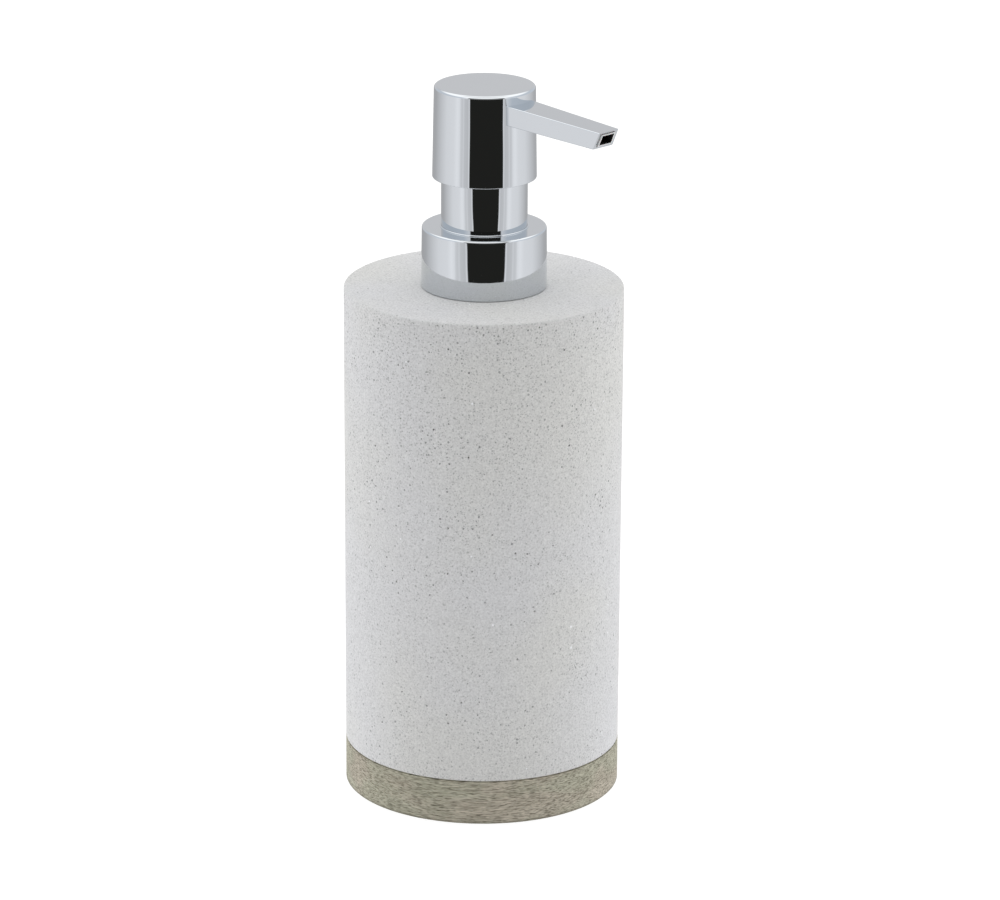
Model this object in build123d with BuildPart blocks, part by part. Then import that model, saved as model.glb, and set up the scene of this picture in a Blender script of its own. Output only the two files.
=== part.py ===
from build123d import *
from math import cos, pi, radians, sin, tan
import os

# A soap pump dispenser: a cast stone bottle on a wooden base, closed by a chromed lotion pump.
# Millimetres, +Z up, spout along +X. The origin is the centre of the face that the dispenser rests on.

os.makedirs("parts", exist_ok=True)

# Fits
seat_gap = 0.1  # radial room in a bonded or pressed seat
running_gap = 0.05  # radial room of a stem or a piston in its bore
slide_gap = 0.3  # radial room between shells that move past each other

# Wooden base and its pad
base_diameter = 72.0
base_height = 11.8
base_edge = 0.4
foot_pad_thickness = 1.6
foot_pad_proud = 0.6
foot_pad_inset = 5.0
base_spigot_height = 2.0

# Stone bottle
body_height = 123.5
body_draft = 0.25  # growth in radius from bottom to top
body_wall = 4.0
body_roof = 5.0
body_rim_radius = 0.6
body_foot_edge = 0.3
body_roof_radius = 5.0
plug_thickness = 5.0
plug_ledge = 0.8

# Threaded neck
neck_height = 10.0
neck_passage = 3.8  # radial room between the barrel and the neck
neck_wall = 1.55
neck_flange_width = 1.75
neck_flange_thickness = 1.2
neck_skirt_width = 0.25  # how far the skirt stands outside the thread
neck_skirt_below_roof = 1.2
thread_pitch = 4.23
thread_depth = 1.2
thread_gap = 0.3
thread_root_width = 2.2
thread_crest_width = 1.0
thread_turns = 1.25
thread_start = 2.9  # middle of the first turn above the bottle's top
thread_embed = 0.3
thread_lead_steps = 2
thread_steps_per_turn = 24

# Collar and closure
collar_gap = 0.35  # daylight between collar and stone
collar_wall = 1.0
collar_draft = 0.2
collar_edge_radius = 0.55
collar_shelf = 4.95  # width of the collar's top outside the sleeve
closure_wall = 0.95
closure_recess = 0.6
closure_top = 1.7
closure_thread_turns = 1.0
closure_thread_lag = 0.25  # turns by which the closure's thread starts after the neck's
closure_thread_root_width = 1.6
closure_thread_crest_width = 0.9
gasket_thickness = 1.0

# Sleeve and stem guide
sleeve_wall = 1.25
sleeve_flange_width = 1.15
sleeve_flange_thickness = 0.8
sleeve_bead_width = 0.6
sleeve_bead_height = 0.4
sleeve_overlap = 3.0  # length of sleeve inside the head at rest
sleeve_edge = 0.3
guide_flange_thickness = 2.0
guide_flange_grip = 0.4  # how far the guide's flange reaches under the sleeve
guide_spigot_length = 3.0
guide_hub_wall = 2.0
guide_rise = 2.1

# Barrel, valves and tube
barrel_bore = 12.0
barrel_wall = 1.2
barrel_flange_inset = 0.15
barrel_flange_thickness = 1.5
barrel_vent_diameter = 0.9
ball_diameter = 4.6
ball_lift = 1.5
ball_gap = 0.1
ball_room = 0.9
seat_half_angle = 45.0
seat_land = 0.125
port_length = 1.0
cage_thickness = 1.5
cage_hole_diameter = 1.8
cage_hole_count = 4
tube_diameter = 5.4
tube_wall = 0.8
tube_socket_depth = 8.0
tube_floor_gap = 2.5
tube_end_angle = 40.0

# Stem, piston and spring
press_stroke = 12.0
press_room = 1.1  # daylight between head and collar at full press
stem_wall = 2.0
stem_lip = 0.5
stem_shoulder_width = 1.1
stem_shoulder_height = 2.0
stem_socket_depth = 10.0
piston_length = 8.0
piston_lip_height = 1.5
piston_waist_depth = 0.65
tip_spigot_wall = 0.9
tip_spigot_length = 6.0
tip_flange_thickness = 1.0
tip_nose_gap = 0.9
tip_nose_length = 4.0
spring_wire = 1.0
spring_turns = 8
spring_bore_gap = 0.8
spring_reserve = 5.0  # length left between solid coil and full press

# Head and spout
head_gap = 0.5
head_wall = 1.4
head_roof = 1.2
head_draft = 0.4
head_edge_radius = 0.8
head_foot_edge = 0.2
core_room = 0.6
core_floor = 0.74
core_grip = 4.65
boss_wall = 2.45
boss_room = 0.8
stop_pin_diameter = 2.0
spout_reach = 43.8
spout_root_width = 9.3
spout_tip_width = 7.0
spout_root_height = 5.05
spout_tip_height = 4.65
spout_droop = 2.5
spout_drop = 2.7  # step from the head's top down to the spout
spout_undercut = 2.15
spout_edge_radius = 0.35
spout_side_wall = 1.2
spout_top_wall = 0.8
spout_flange_thickness = 1.5
spout_flange_width = 1.0
liner_wall = 0.4
liner_proud = 0.45

# Levels from the resting face up to the collar
base_bottom_z = foot_pad_proud
base_top_z = base_bottom_z + base_height
plug_bottom_z = base_top_z + base_spigot_height
floor_z = plug_bottom_z + plug_thickness
body_top_z = base_top_z + body_height
roof_z = body_top_z - body_roof
neck_top_z = body_top_z + neck_height
flange_bottom_z = neck_top_z + gasket_thickness
barrel_top_z = flange_bottom_z + barrel_flange_thickness
lip_bottom_z = barrel_top_z + sleeve_flange_thickness
closure_top_z = lip_bottom_z + closure_top
collar_top_z = closure_top_z + collar_wall
collar_bottom_z = body_top_z + collar_gap
closure_bottom_z = collar_bottom_z + closure_recess

# Levels of the head at rest
head_bottom_z = collar_top_z + press_stroke + press_room
sleeve_top_z = head_bottom_z + sleeve_overlap
core_bottom_z = sleeve_top_z + press_stroke + core_room
spout_floor_z = core_bottom_z + core_floor
spout_top_z = spout_floor_z + spout_root_height
head_top_z = spout_top_z + spout_drop
core_top_z = head_top_z - head_roof
guide_top_z = collar_top_z + guide_rise
boss_bottom_z = guide_top_z + press_stroke + boss_room
stem_top_z = boss_bottom_z + stem_socket_depth

# Levels inside the barrel, from the guide down to the tube
guide_bottom_z = barrel_top_z - guide_spigot_length
piston_bottom_z = guide_bottom_z - piston_length
piston_middle_z = guide_bottom_z - piston_length / 2
spring_top_z = piston_bottom_z - tip_flange_thickness
spring_length = press_stroke + (spring_turns + 1) * spring_wire + spring_reserve
cage_top_z = spring_top_z - spring_length
cage_bottom_z = cage_top_z - cage_thickness

# Radii, from the balls outwards to the collar and the head
ball_radius = ball_diameter / 2
seat_angle = radians(seat_half_angle)
port_radius = ball_radius * cos(seat_angle) - seat_land
chamber_radius = ball_radius + ball_room
stem_radius = port_radius + stem_wall
bore_radius = barrel_bore / 2
barrel_radius = bore_radius + barrel_wall
neck_bore_radius = barrel_radius + neck_passage
neck_root_radius = neck_bore_radius + neck_wall
neck_thread_radius = neck_root_radius + thread_depth
closure_bore_radius = neck_thread_radius + thread_gap
closure_radius = closure_bore_radius + closure_wall
collar_bore_radius = closure_radius + seat_gap
collar_top_radius = collar_bore_radius + collar_wall
barrel_flange_radius = neck_root_radius - barrel_flange_inset
sleeve_radius = collar_top_radius - collar_shelf
sleeve_bore_radius = sleeve_radius - sleeve_wall
lip_radius = sleeve_radius + slide_gap
bead_radius = sleeve_radius + sleeve_bead_width
guide_pocket_radius = sleeve_bore_radius + guide_flange_grip
head_bore_radius = sleeve_radius + head_gap
head_top_radius = head_bore_radius + head_wall
core_radius = head_bore_radius - seat_gap
boss_radius = stem_radius + seat_gap + boss_wall
base_radius = base_diameter / 2
body_bore_radius = base_radius - body_wall
plug_seat_radius = body_bore_radius + plug_ledge
neck_skirt_radius = neck_thread_radius + neck_skirt_width
neck_flange_radius = neck_thread_radius + neck_flange_width
foot_pad_radius = base_radius - foot_pad_inset

# Valve seats: the height of a ball's centre above the point of its cone, and the balls' places
ball_above_point = (ball_radius + ball_gap) / sin(seat_angle)
inlet_ball_z = cage_bottom_z - ball_gap - ball_lift - ball_radius
inlet_point_z = inlet_ball_z - ball_above_point
port_top_z = inlet_point_z + port_radius / tan(seat_angle)
tube_top_z = port_top_z - port_length
barrel_bottom_z = tube_top_z - tube_socket_depth
outlet_seat_radius = stem_radius - stem_lip
outlet_point_z = stem_top_z - outlet_seat_radius / tan(seat_angle)
outlet_ball_z = outlet_point_z + ball_above_point
stop_pin_z = outlet_ball_z + ball_radius + ball_lift + ball_gap

# Spring: the middle of the wire runs on a cylinder of this radius
spring_radius = bore_radius - spring_bore_gap - spring_wire / 2
spring_outer_radius = spring_radius + spring_wire / 2
spring_inner_radius = spring_radius - spring_wire / 2

# Spout: it tapers and droops from the head's wall to its tip, and starts inside the core
spout_inner_x = head_bore_radius - core_grip
spout_run = spout_reach - head_top_radius
spout_far_x = spout_reach + spout_undercut


def along_spout(x, root, tip):
    """A size of the spout at a distance x from the axis."""
    return root + (tip - root) * (x - head_top_radius) / spout_run


def spout_half_width(x):
    return along_spout(x, spout_root_width, spout_tip_width) / 2


def spout_upper_z(x):
    return spout_top_z - (x - head_top_radius) * tan(radians(spout_droop))


def spout_lower_z(x):
    return spout_upper_z(x) - along_spout(x, spout_root_height, spout_tip_height)


spout_end = Plane(
    origin=(spout_reach, 0, spout_upper_z(spout_reach)),
    z_dir=(spout_tip_height, 0, -spout_undercut),
)


def corner(sketch, x, z):
    """The vertex of a half section that lies at x and z."""
    return sketch.vertices().sort_by_distance((x, z))[0]


def spout_prism(side_inset, height_inset):
    """The spout's tapering bar, drawn in by a wall on its sides and on its top and bottom."""
    ends = (spout_inner_x, spout_far_x)
    sides = [spout_half_width(x) - side_inset for x in ends]
    tops = [spout_upper_z(x) - height_inset for x in ends]
    bottoms = [spout_lower_z(x) + height_inset for x in ends]
    with BuildPart() as prism:
        with BuildSketch(Plane.XY.offset(min(bottoms))):
            with BuildLine():
                Polyline(
                    (ends[0], -sides[0]),
                    (ends[1], -sides[1]),
                    (ends[1], sides[1]),
                    (ends[0], sides[0]),
                    close=True,
                )
            make_face()
        extrude(amount=max(tops) - min(bottoms))
        with BuildSketch(Plane.XZ):
            with BuildLine():
                Polyline(
                    (ends[0], bottoms[0]),
                    (ends[1], bottoms[1]),
                    (ends[1], tops[1]),
                    (ends[0], tops[0]),
                    close=True,
                )
            make_face()
        extrude(amount=max(sides), both=True, mode=Mode.INTERSECT)
    return prism.part


def thread_ridge(wall_radius, crest_radius, root_width, crest_width, start_z, first_turn, turns):
    """A screw thread's ridge, with its crest led in at both ends and its root sunk in the wall."""
    outwards = 1 if crest_radius > wall_radius else -1
    root_radius = wall_radius - outwards * thread_embed
    steps = round(turns * thread_steps_per_turn)
    with BuildPart() as ridge:
        for step in range(steps + 1):
            turn = first_turn + step / thread_steps_per_turn
            x_dir = (cos(2 * pi * turn), sin(2 * pi * turn), 0)
            z_dir = (sin(2 * pi * turn), -cos(2 * pi * turn), 0)
            lead = min(1, (step + 1) / thread_lead_steps, (steps - step + 1) / thread_lead_steps)
            tip_radius = wall_radius + lead * (crest_radius - wall_radius)
            with BuildSketch(Plane((0, 0, start_z + thread_pitch * turn), x_dir, z_dir)):
                with BuildLine():
                    Polyline(
                        (root_radius, -root_width / 2),
                        (tip_radius, -crest_width / 2),
                        (tip_radius, crest_width / 2),
                        (root_radius, root_width / 2),
                        close=True,
                    )
                make_face()
        loft(ruled=True)
    return ridge.part


# Stone bottle, open below for casting
with BuildPart() as body_shell:
    with BuildSketch(Plane.XZ) as section:
        with BuildLine():
            Polyline(
                (plug_seat_radius, base_top_z),
                (base_radius, base_top_z),
                (base_radius + body_draft, body_top_z),
                (neck_flange_radius + seat_gap, body_top_z),
                (neck_flange_radius + seat_gap, body_top_z - neck_flange_thickness),
                (neck_skirt_radius + seat_gap, body_top_z - neck_flange_thickness),
                (neck_skirt_radius + seat_gap, roof_z),
                (body_bore_radius, roof_z),
                (body_bore_radius, floor_z),
                (plug_seat_radius, floor_z),
                close=True,
            )
        make_face()
        fillet(corner(section, base_radius + body_draft, body_top_z), body_rim_radius)
        fillet(corner(section, body_bore_radius, roof_z), body_roof_radius)
        chamfer(corner(section, base_radius, base_top_z), body_foot_edge)
    revolve(axis=Axis.Z)
body_shell.part.label = "body_shell"
export_step(body_shell.part, "parts/body_shell.step")

# Cast disc that closes the bottle, seated on the ledge above it
with BuildPart() as bottom_plug:
    with BuildSketch(Plane.XY.offset(plug_bottom_z)):
        Circle(plug_seat_radius - seat_gap)
    extrude(amount=plug_thickness)
bottom_plug.part.label = "bottom_plug"
export_step(bottom_plug.part, "parts/bottom_plug.step")

# Turned base, with a spigot that centres it in the bottle and a recess for the pad
with BuildPart() as wooden_base:
    with BuildSketch(Plane.XZ) as section:
        pad_seat_radius = foot_pad_radius + seat_gap
        pad_top_z = foot_pad_thickness
        with BuildLine():
            Polyline(
                (0, pad_top_z),
                (pad_seat_radius, pad_top_z),
                (pad_seat_radius, base_bottom_z),
                (base_radius, base_bottom_z),
                (base_radius, base_top_z),
                (plug_seat_radius - seat_gap, base_top_z),
                (plug_seat_radius - seat_gap, plug_bottom_z),
                (0, plug_bottom_z),
                close=True,
            )
        make_face()
        chamfer(corner(section, base_radius, base_bottom_z), base_edge)
        chamfer(corner(section, base_radius, base_top_z), body_foot_edge)
    revolve(axis=Axis.Z)
wooden_base.part.label = "wooden_base"
export_step(wooden_base.part, "parts/wooden_base.step")

# Soft pad that the dispenser stands on
with BuildPart() as foot_pad:
    with BuildSketch(Plane.XY):
        Circle(foot_pad_radius)
    extrude(amount=foot_pad_thickness)
foot_pad.part.label = "foot_pad"
export_step(foot_pad.part, "parts/foot_pad.step")

# Threaded neck, bonded flush into the mouth of the bottle
neck_thread = thread_ridge(
    wall_radius=neck_root_radius,
    crest_radius=neck_thread_radius,
    root_width=thread_root_width,
    crest_width=thread_crest_width,
    start_z=body_top_z + thread_start,
    first_turn=0,
    turns=thread_turns,
)
with BuildPart() as neck_insert:
    with BuildSketch(Plane.XZ):
        with BuildLine():
            Polyline(
                (neck_bore_radius, roof_z - neck_skirt_below_roof),
                (neck_skirt_radius, roof_z - neck_skirt_below_roof),
                (neck_skirt_radius, body_top_z - neck_flange_thickness),
                (neck_flange_radius, body_top_z - neck_flange_thickness),
                (neck_flange_radius, body_top_z),
                (neck_root_radius, body_top_z),
                (neck_root_radius, neck_top_z),
                (neck_bore_radius, neck_top_z),
                close=True,
            )
        make_face()
    revolve(axis=Axis.Z)
    add(neck_thread)
neck_insert.part.label = "neck_insert"
export_step(neck_insert.part, "parts/neck_insert.step")

# Chromed collar
with BuildPart() as collar_cover:
    with BuildSketch(Plane.XZ) as section:
        with BuildLine():
            Polyline(
                (collar_bore_radius, collar_bottom_z),
                (collar_top_radius + collar_draft, collar_bottom_z),
                (collar_top_radius, collar_top_z),
                (lip_radius, collar_top_z),
                (lip_radius, closure_top_z),
                (collar_bore_radius, closure_top_z),
                close=True,
            )
        make_face()
        fillet(corner(section, collar_top_radius, collar_top_z), collar_edge_radius)
    revolve(axis=Axis.Z)
collar_cover.part.label = "collar_cover"
export_step(collar_cover.part, "parts/collar_cover.step")

# Threaded ring inside the collar, whose lip is held between the sleeve's flange and its bead
bead_top_z = closure_top_z - slide_gap / 2
bead_bottom_z = bead_top_z - sleeve_bead_height
closure_thread = thread_ridge(
    wall_radius=closure_bore_radius,
    crest_radius=neck_root_radius + thread_gap,
    root_width=closure_thread_root_width,
    crest_width=closure_thread_crest_width,
    start_z=body_top_z + thread_start - thread_pitch / 2,
    first_turn=closure_thread_lag,
    turns=closure_thread_turns,
)
with BuildPart() as threaded_closure:
    with BuildSketch(Plane.XZ):
        with BuildLine():
            Polyline(
                (closure_bore_radius, closure_bottom_z),
                (closure_radius, closure_bottom_z),
                (closure_radius, closure_top_z),
                (bead_radius + slide_gap, closure_top_z),
                (bead_radius + slide_gap, bead_bottom_z),
                (lip_radius, bead_bottom_z),
                (lip_radius, lip_bottom_z),
                (closure_bore_radius, lip_bottom_z),
                close=True,
            )
        make_face()
    revolve(axis=Axis.Z)
    add(closure_thread)
threaded_closure.part.label = "threaded_closure"
export_step(threaded_closure.part, "parts/threaded_closure.step")

# Seal between the neck and the pump
with BuildPart() as neck_gasket:
    with BuildSketch(Plane.XY.offset(neck_top_z)):
        Circle(barrel_flange_radius)
        Circle(barrel_radius + seat_gap, mode=Mode.SUBTRACT)
    extrude(amount=gasket_thickness)
neck_gasket.part.label = "neck_gasket"
export_step(neck_gasket.part, "parts/neck_gasket.step")

# Pump cylinder, with the inlet valve's chamber and the tube's socket below its bore. The air vent
# in its wall is closed by the raised piston's lips and opens as the piston goes down.
lower_radius = chamber_radius + barrel_wall
tube_socket_radius = tube_diameter / 2 + seat_gap
with BuildPart() as pump_barrel:
    with BuildSketch(Plane.XZ):
        with BuildLine():
            Polyline(
                (bore_radius, barrel_top_z),
                (barrel_flange_radius, barrel_top_z),
                (barrel_flange_radius, flange_bottom_z),
                (barrel_radius, flange_bottom_z),
                (barrel_radius, cage_bottom_z),
                (lower_radius, cage_bottom_z - (barrel_radius - lower_radius)),
                (lower_radius, barrel_bottom_z),
                (tube_socket_radius, barrel_bottom_z),
                (tube_socket_radius, tube_top_z),
                (port_radius, tube_top_z),
                (port_radius, port_top_z),
                (chamber_radius, inlet_point_z + chamber_radius / tan(seat_angle)),
                (chamber_radius, cage_bottom_z),
                (bore_radius, cage_bottom_z),
                close=True,
            )
        make_face()
    revolve(axis=Axis.Z)
    with BuildSketch(Plane.YZ):
        with Locations((0, piston_middle_z)):
            Circle(barrel_vent_diameter / 2)
    extrude(amount=barrel_radius, mode=Mode.SUBTRACT)
pump_barrel.part.label = "pump_barrel"
export_step(pump_barrel.part, "parts/pump_barrel.step")

# Guide that closes the barrel; its flange is held under the step in the sleeve
guide_bore_radius = stem_radius + running_gap
guide_flange_radius = guide_pocket_radius - seat_gap
guide_flange_top_z = barrel_top_z + guide_flange_thickness
guide_hub_radius = guide_bore_radius + guide_hub_wall
with BuildPart() as stem_guide:
    with BuildSketch(Plane.XZ):
        with BuildLine():
            Polyline(
                (guide_bore_radius, guide_bottom_z),
                (bore_radius - seat_gap, guide_bottom_z),
                (bore_radius - seat_gap, barrel_top_z),
                (guide_flange_radius, barrel_top_z),
                (guide_flange_radius, guide_flange_top_z),
                (guide_hub_radius, guide_flange_top_z),
                (guide_hub_radius, guide_top_z),
                (guide_bore_radius, guide_top_z),
                close=True,
            )
        make_face()
    revolve(axis=Axis.Z)
stem_guide.part.label = "stem_guide"
export_step(stem_guide.part, "parts/stem_guide.step")

# Chromed sleeve that the head slides over
with BuildPart() as neck_sleeve:
    with BuildSketch(Plane.XZ) as section:
        with BuildLine():
            Polyline(
                (guide_pocket_radius, barrel_top_z),
                (sleeve_radius + sleeve_flange_width, barrel_top_z),
                (sleeve_radius + sleeve_flange_width, lip_bottom_z),
                (sleeve_radius, lip_bottom_z),
                (sleeve_radius, bead_bottom_z),
                (bead_radius, bead_bottom_z),
                (bead_radius, bead_top_z),
                (sleeve_radius, bead_top_z),
                (sleeve_radius, sleeve_top_z),
                (sleeve_bore_radius, sleeve_top_z),
                (sleeve_bore_radius, guide_flange_top_z),
                (guide_pocket_radius, guide_flange_top_z),
                close=True,
            )
        make_face()
        fillet(corner(section, sleeve_radius, sleeve_top_z), sleeve_edge)
    revolve(axis=Axis.Z)
neck_sleeve.part.label = "neck_sleeve"
export_step(neck_sleeve.part, "parts/neck_sleeve.step")

# Hollow stem, with the outlet valve's seat in its top and a socket for the tip below
shoulder_radius = stem_radius + stem_shoulder_width
tip_spigot_radius = port_radius + tip_spigot_wall
with BuildPart() as pump_stem:
    with BuildSketch(Plane.XZ):
        with BuildLine():
            Polyline(
                (tip_spigot_radius + seat_gap, piston_bottom_z),
                (stem_radius, piston_bottom_z),
                (stem_radius, guide_bottom_z - stem_shoulder_height),
                (shoulder_radius, guide_bottom_z - stem_shoulder_height),
                (shoulder_radius, guide_bottom_z),
                (stem_radius, guide_bottom_z),
                (stem_radius, stem_top_z),
                (outlet_seat_radius, stem_top_z),
                (port_radius, outlet_point_z + port_radius / tan(seat_angle)),
                (port_radius, piston_bottom_z + tip_spigot_length),
                (tip_spigot_radius + seat_gap, piston_bottom_z + tip_spigot_length),
                close=True,
            )
        make_face()
    revolve(axis=Axis.Z)
pump_stem.part.label = "pump_stem"
export_step(pump_stem.part, "parts/pump_stem.step")

# Piston with two sealing lips, free to turn on the stem
piston_radius = bore_radius - running_gap
piston_waist_radius = piston_radius - piston_waist_depth
with BuildPart() as piston:
    with BuildSketch(Plane.XZ):
        with BuildLine():
            Polyline(
                (stem_radius + running_gap, piston_bottom_z),
                (piston_radius, piston_bottom_z),
                (piston_radius, piston_bottom_z + piston_lip_height),
                (piston_waist_radius, piston_bottom_z + piston_lip_height + piston_waist_depth),
                (piston_waist_radius, guide_bottom_z - piston_lip_height - piston_waist_depth),
                (piston_radius, guide_bottom_z - piston_lip_height),
                (piston_radius, guide_bottom_z),
                (shoulder_radius + seat_gap, guide_bottom_z),
                (shoulder_radius + seat_gap, guide_bottom_z - stem_shoulder_height),
                (stem_radius + running_gap, guide_bottom_z - stem_shoulder_height),
                close=True,
            )
        make_face()
    revolve(axis=Axis.Z)
piston.part.label = "piston"
export_step(piston.part, "parts/piston.step")

# Stem's end piece, which holds the piston and takes the spring
with BuildPart() as stem_tip:
    with BuildSketch(Plane.XZ):
        with BuildLine():
            Polyline(
                (port_radius, spring_top_z - tip_nose_length),
                (spring_inner_radius - tip_nose_gap, spring_top_z - tip_nose_length),
                (spring_inner_radius - tip_nose_gap, spring_top_z),
                (spring_outer_radius, spring_top_z),
                (spring_outer_radius, piston_bottom_z),
                (tip_spigot_radius, piston_bottom_z),
                (tip_spigot_radius, piston_bottom_z + tip_spigot_length),
                (port_radius, piston_bottom_z + tip_spigot_length),
                close=True,
            )
        make_face()
    revolve(axis=Axis.Z)
stem_tip.part.label = "stem_tip"
export_step(stem_tip.part, "parts/stem_tip.step")

# Return spring: each half turn is a tilted half circle that meets the next one level
spring_bottom_z = cage_top_z + spring_wire / 2 + ball_gap
spring_pitch = (spring_length - spring_wire - 2 * ball_gap) / spring_turns
with BuildPart() as return_spring:
    with BuildLine() as spring_path:
        for half_turn in range(2 * spring_turns):
            side = 1 if half_turn % 2 == 0 else -1
            low_z = spring_bottom_z + half_turn * spring_pitch / 2
            ThreePointArc(
                (side * spring_radius, 0, low_z),
                (0, side * spring_radius, low_z + spring_pitch / 4),
                (-side * spring_radius, 0, low_z + spring_pitch / 2),
            )
    with BuildSketch(Plane((spring_radius, 0, spring_bottom_z), (1, 0, 0), (0, 1, 0))):
        Circle(spring_wire / 2)
    sweep(path=spring_path.wire())
return_spring.part.label = "return_spring"
export_step(return_spring.part, "parts/return_spring.step")

samples_per_turn = 24
sample_count = samples_per_turn * spring_turns
wire_points = [spring_path.wire() @ (i / sample_count) for i in range(sample_count + 1)]
spring_self_gap = min(
    (far - near).length
    for i, near in enumerate(wire_points)
    for far in wire_points[i + samples_per_turn // 2 :]
)
print("least gap between the spring's turns", round(spring_self_gap - spring_wire, 2))

# Stop over the inlet ball, which also seats the spring
cage_hole_circle = chamber_radius - cage_hole_diameter / 2 - seat_gap
with BuildPart() as ball_cage:
    with BuildSketch(Plane.XY.offset(cage_bottom_z)):
        Circle(bore_radius - seat_gap)
        with PolarLocations(cage_hole_circle, cage_hole_count):
            Circle(cage_hole_diameter / 2, mode=Mode.SUBTRACT)
    extrude(amount=cage_thickness)
ball_cage.part.label = "ball_cage"
export_step(ball_cage.part, "parts/ball_cage.step")

# Check balls
with BuildPart() as inlet_ball:
    with Locations((0, 0, inlet_ball_z)):
        Sphere(ball_radius)
inlet_ball.part.label = "inlet_ball"
export_step(inlet_ball.part, "parts/inlet_ball.step")

with BuildPart() as outlet_ball:
    with Locations((0, 0, outlet_ball_z)):
        Sphere(ball_radius)
outlet_ball.part.label = "outlet_ball"
export_step(outlet_ball.part, "parts/outlet_ball.step")

# Suction tube, cut at a slant so that the floor can't seal it
tube_bottom_z = floor_z + tube_floor_gap
tube_slant = radians(tube_end_angle)
with BuildPart() as dip_tube:
    with BuildSketch(Plane.XY.offset(tube_bottom_z)):
        Circle(tube_diameter / 2)
        Circle(tube_diameter / 2 - tube_wall, mode=Mode.SUBTRACT)
    extrude(amount=tube_top_z - tube_bottom_z)
    split(
        bisect_by=Plane(
            origin=(tube_diameter / 2, 0, tube_bottom_z),
            z_dir=(sin(tube_slant), 0, cos(tube_slant)),
        ),
        keep=Keep.TOP,
    )
dip_tube.part.label = "dip_tube"
export_step(dip_tube.part, "parts/dip_tube.step")

# Spout forms that the head's pieces share
spout_bar = spout_prism(0, 0)
spout_hollow = spout_prism(spout_side_wall, spout_top_wall)
spout_window = spout_prism(-seat_gap, -seat_gap)
liner_bar = spout_prism(spout_side_wall + seat_gap, spout_top_wall + seat_gap)
liner_bore = spout_prism(
    spout_side_wall + seat_gap + liner_wall, spout_top_wall + seat_gap + liner_wall
)

# Chromed cup, with a window for the spout
with BuildPart() as head_cap:
    with BuildSketch(Plane.XZ) as section:
        with BuildLine():
            Polyline(
                (head_bore_radius, head_bottom_z),
                (head_top_radius + head_draft, head_bottom_z),
                (head_top_radius, head_top_z),
                (0, head_top_z),
                (0, core_top_z),
                (head_bore_radius, core_top_z),
                close=True,
            )
        make_face()
        fillet(corner(section, head_top_radius, head_top_z), head_edge_radius)
        fillet(corner(section, head_top_radius + head_draft, head_bottom_z), head_foot_edge)
    revolve(axis=Axis.Z)
    add(spout_window, mode=Mode.SUBTRACT)
head_cap.part.label = "head_cap"
export_step(head_cap.part, "parts/head_cap.step")

# Core of the head: stem socket, outlet valve's chamber with its stop pin, and the way to the spout
wall_inset = spout_top_wall + seat_gap + liner_wall
channel_top_z = spout_upper_z(spout_inner_x) - wall_inset
channel_bottom_z = spout_lower_z(spout_inner_x) + wall_inset
slot_floor_z = spout_lower_z(core_radius) - seat_gap
slot_height = core_top_z - slot_floor_z
slot_middle_z = (core_top_z + slot_floor_z) / 2
slot_half_width = spout_half_width(spout_inner_x) + seat_gap
pocket_half_width = slot_half_width + spout_flange_width
with BuildPart() as head_core:
    with BuildSketch(Plane.XZ):
        with BuildLine():
            Polyline(
                (stem_radius + seat_gap, boss_bottom_z),
                (boss_radius, boss_bottom_z),
                (boss_radius, core_bottom_z),
                (core_radius, core_bottom_z),
                (core_radius, core_top_z),
                (0, core_top_z),
                (0, stop_pin_z),
                (stop_pin_diameter / 2, stop_pin_z),
                (stop_pin_diameter / 2, channel_top_z),
                (chamber_radius, channel_top_z),
                (chamber_radius, stem_top_z),
                (stem_radius + seat_gap, stem_top_z),
                close=True,
            )
        make_face()
    revolve(axis=Axis.Z)
    with BuildSketch(Plane.YZ.offset(spout_inner_x)):
        with Locations((0, slot_middle_z)):
            Rectangle(2 * slot_half_width, slot_height)
    extrude(amount=core_radius, mode=Mode.SUBTRACT)
    with BuildSketch(Plane.YZ.offset(spout_inner_x)):
        with Locations((0, slot_middle_z)):
            Rectangle(2 * pocket_half_width, slot_height)
    extrude(amount=spout_flange_thickness + seat_gap, mode=Mode.SUBTRACT)
    with BuildSketch(Plane.YZ.offset(spout_inner_x)):
        with Locations((0, (channel_top_z + channel_bottom_z) / 2)):
            Rectangle(2 * port_radius, channel_top_z - channel_bottom_z)
    extrude(amount=port_radius - spout_inner_x, mode=Mode.SUBTRACT)
head_core.part.label = "head_core"
export_step(head_core.part, "parts/head_core.step")

# Chromed spout, with a flange at its root that the core holds behind the cup's wall
flange_top_z = spout_upper_z(spout_inner_x) + spout_flange_width
flange_bottom = spout_lower_z(spout_inner_x + spout_flange_thickness)
with BuildPart() as spout_shell:
    add(spout_bar)
    split(bisect_by=spout_end, keep=Keep.BOTTOM)
    fillet(spout_shell.edges().sort_by(SortBy.LENGTH)[-4:], spout_edge_radius)
    with BuildSketch(Plane.YZ.offset(spout_inner_x)):
        with Locations((0, (flange_top_z + flange_bottom) / 2)):
            Rectangle(2 * (pocket_half_width - seat_gap), flange_top_z - flange_bottom)
    extrude(amount=spout_flange_thickness)
    add(spout_hollow, mode=Mode.SUBTRACT)
spout_shell.part.label = "spout_shell"
export_step(spout_shell.part, "parts/spout_shell.step")

# Liner that leads the soap from the core to the tip and stands proud of the chromed end
with BuildPart() as nozzle_liner:
    add(liner_bar)
    split(bisect_by=spout_end.offset(liner_proud), keep=Keep.BOTTOM)
    add(liner_bore, mode=Mode.SUBTRACT)
nozzle_liner.part.label = "nozzle_liner"
export_step(nozzle_liner.part, "parts/nozzle_liner.step")

print("overall height", round(head_top_z, 2), "collar", round(2 * collar_top_radius, 2))
print("head", round(2 * head_top_radius, 2), "sleeve", round(2 * sleeve_radius, 2))
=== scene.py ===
"""Soap pump dispenser: a cast stone bottle on a wooden base, with a chromed lotion pump."""

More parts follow.
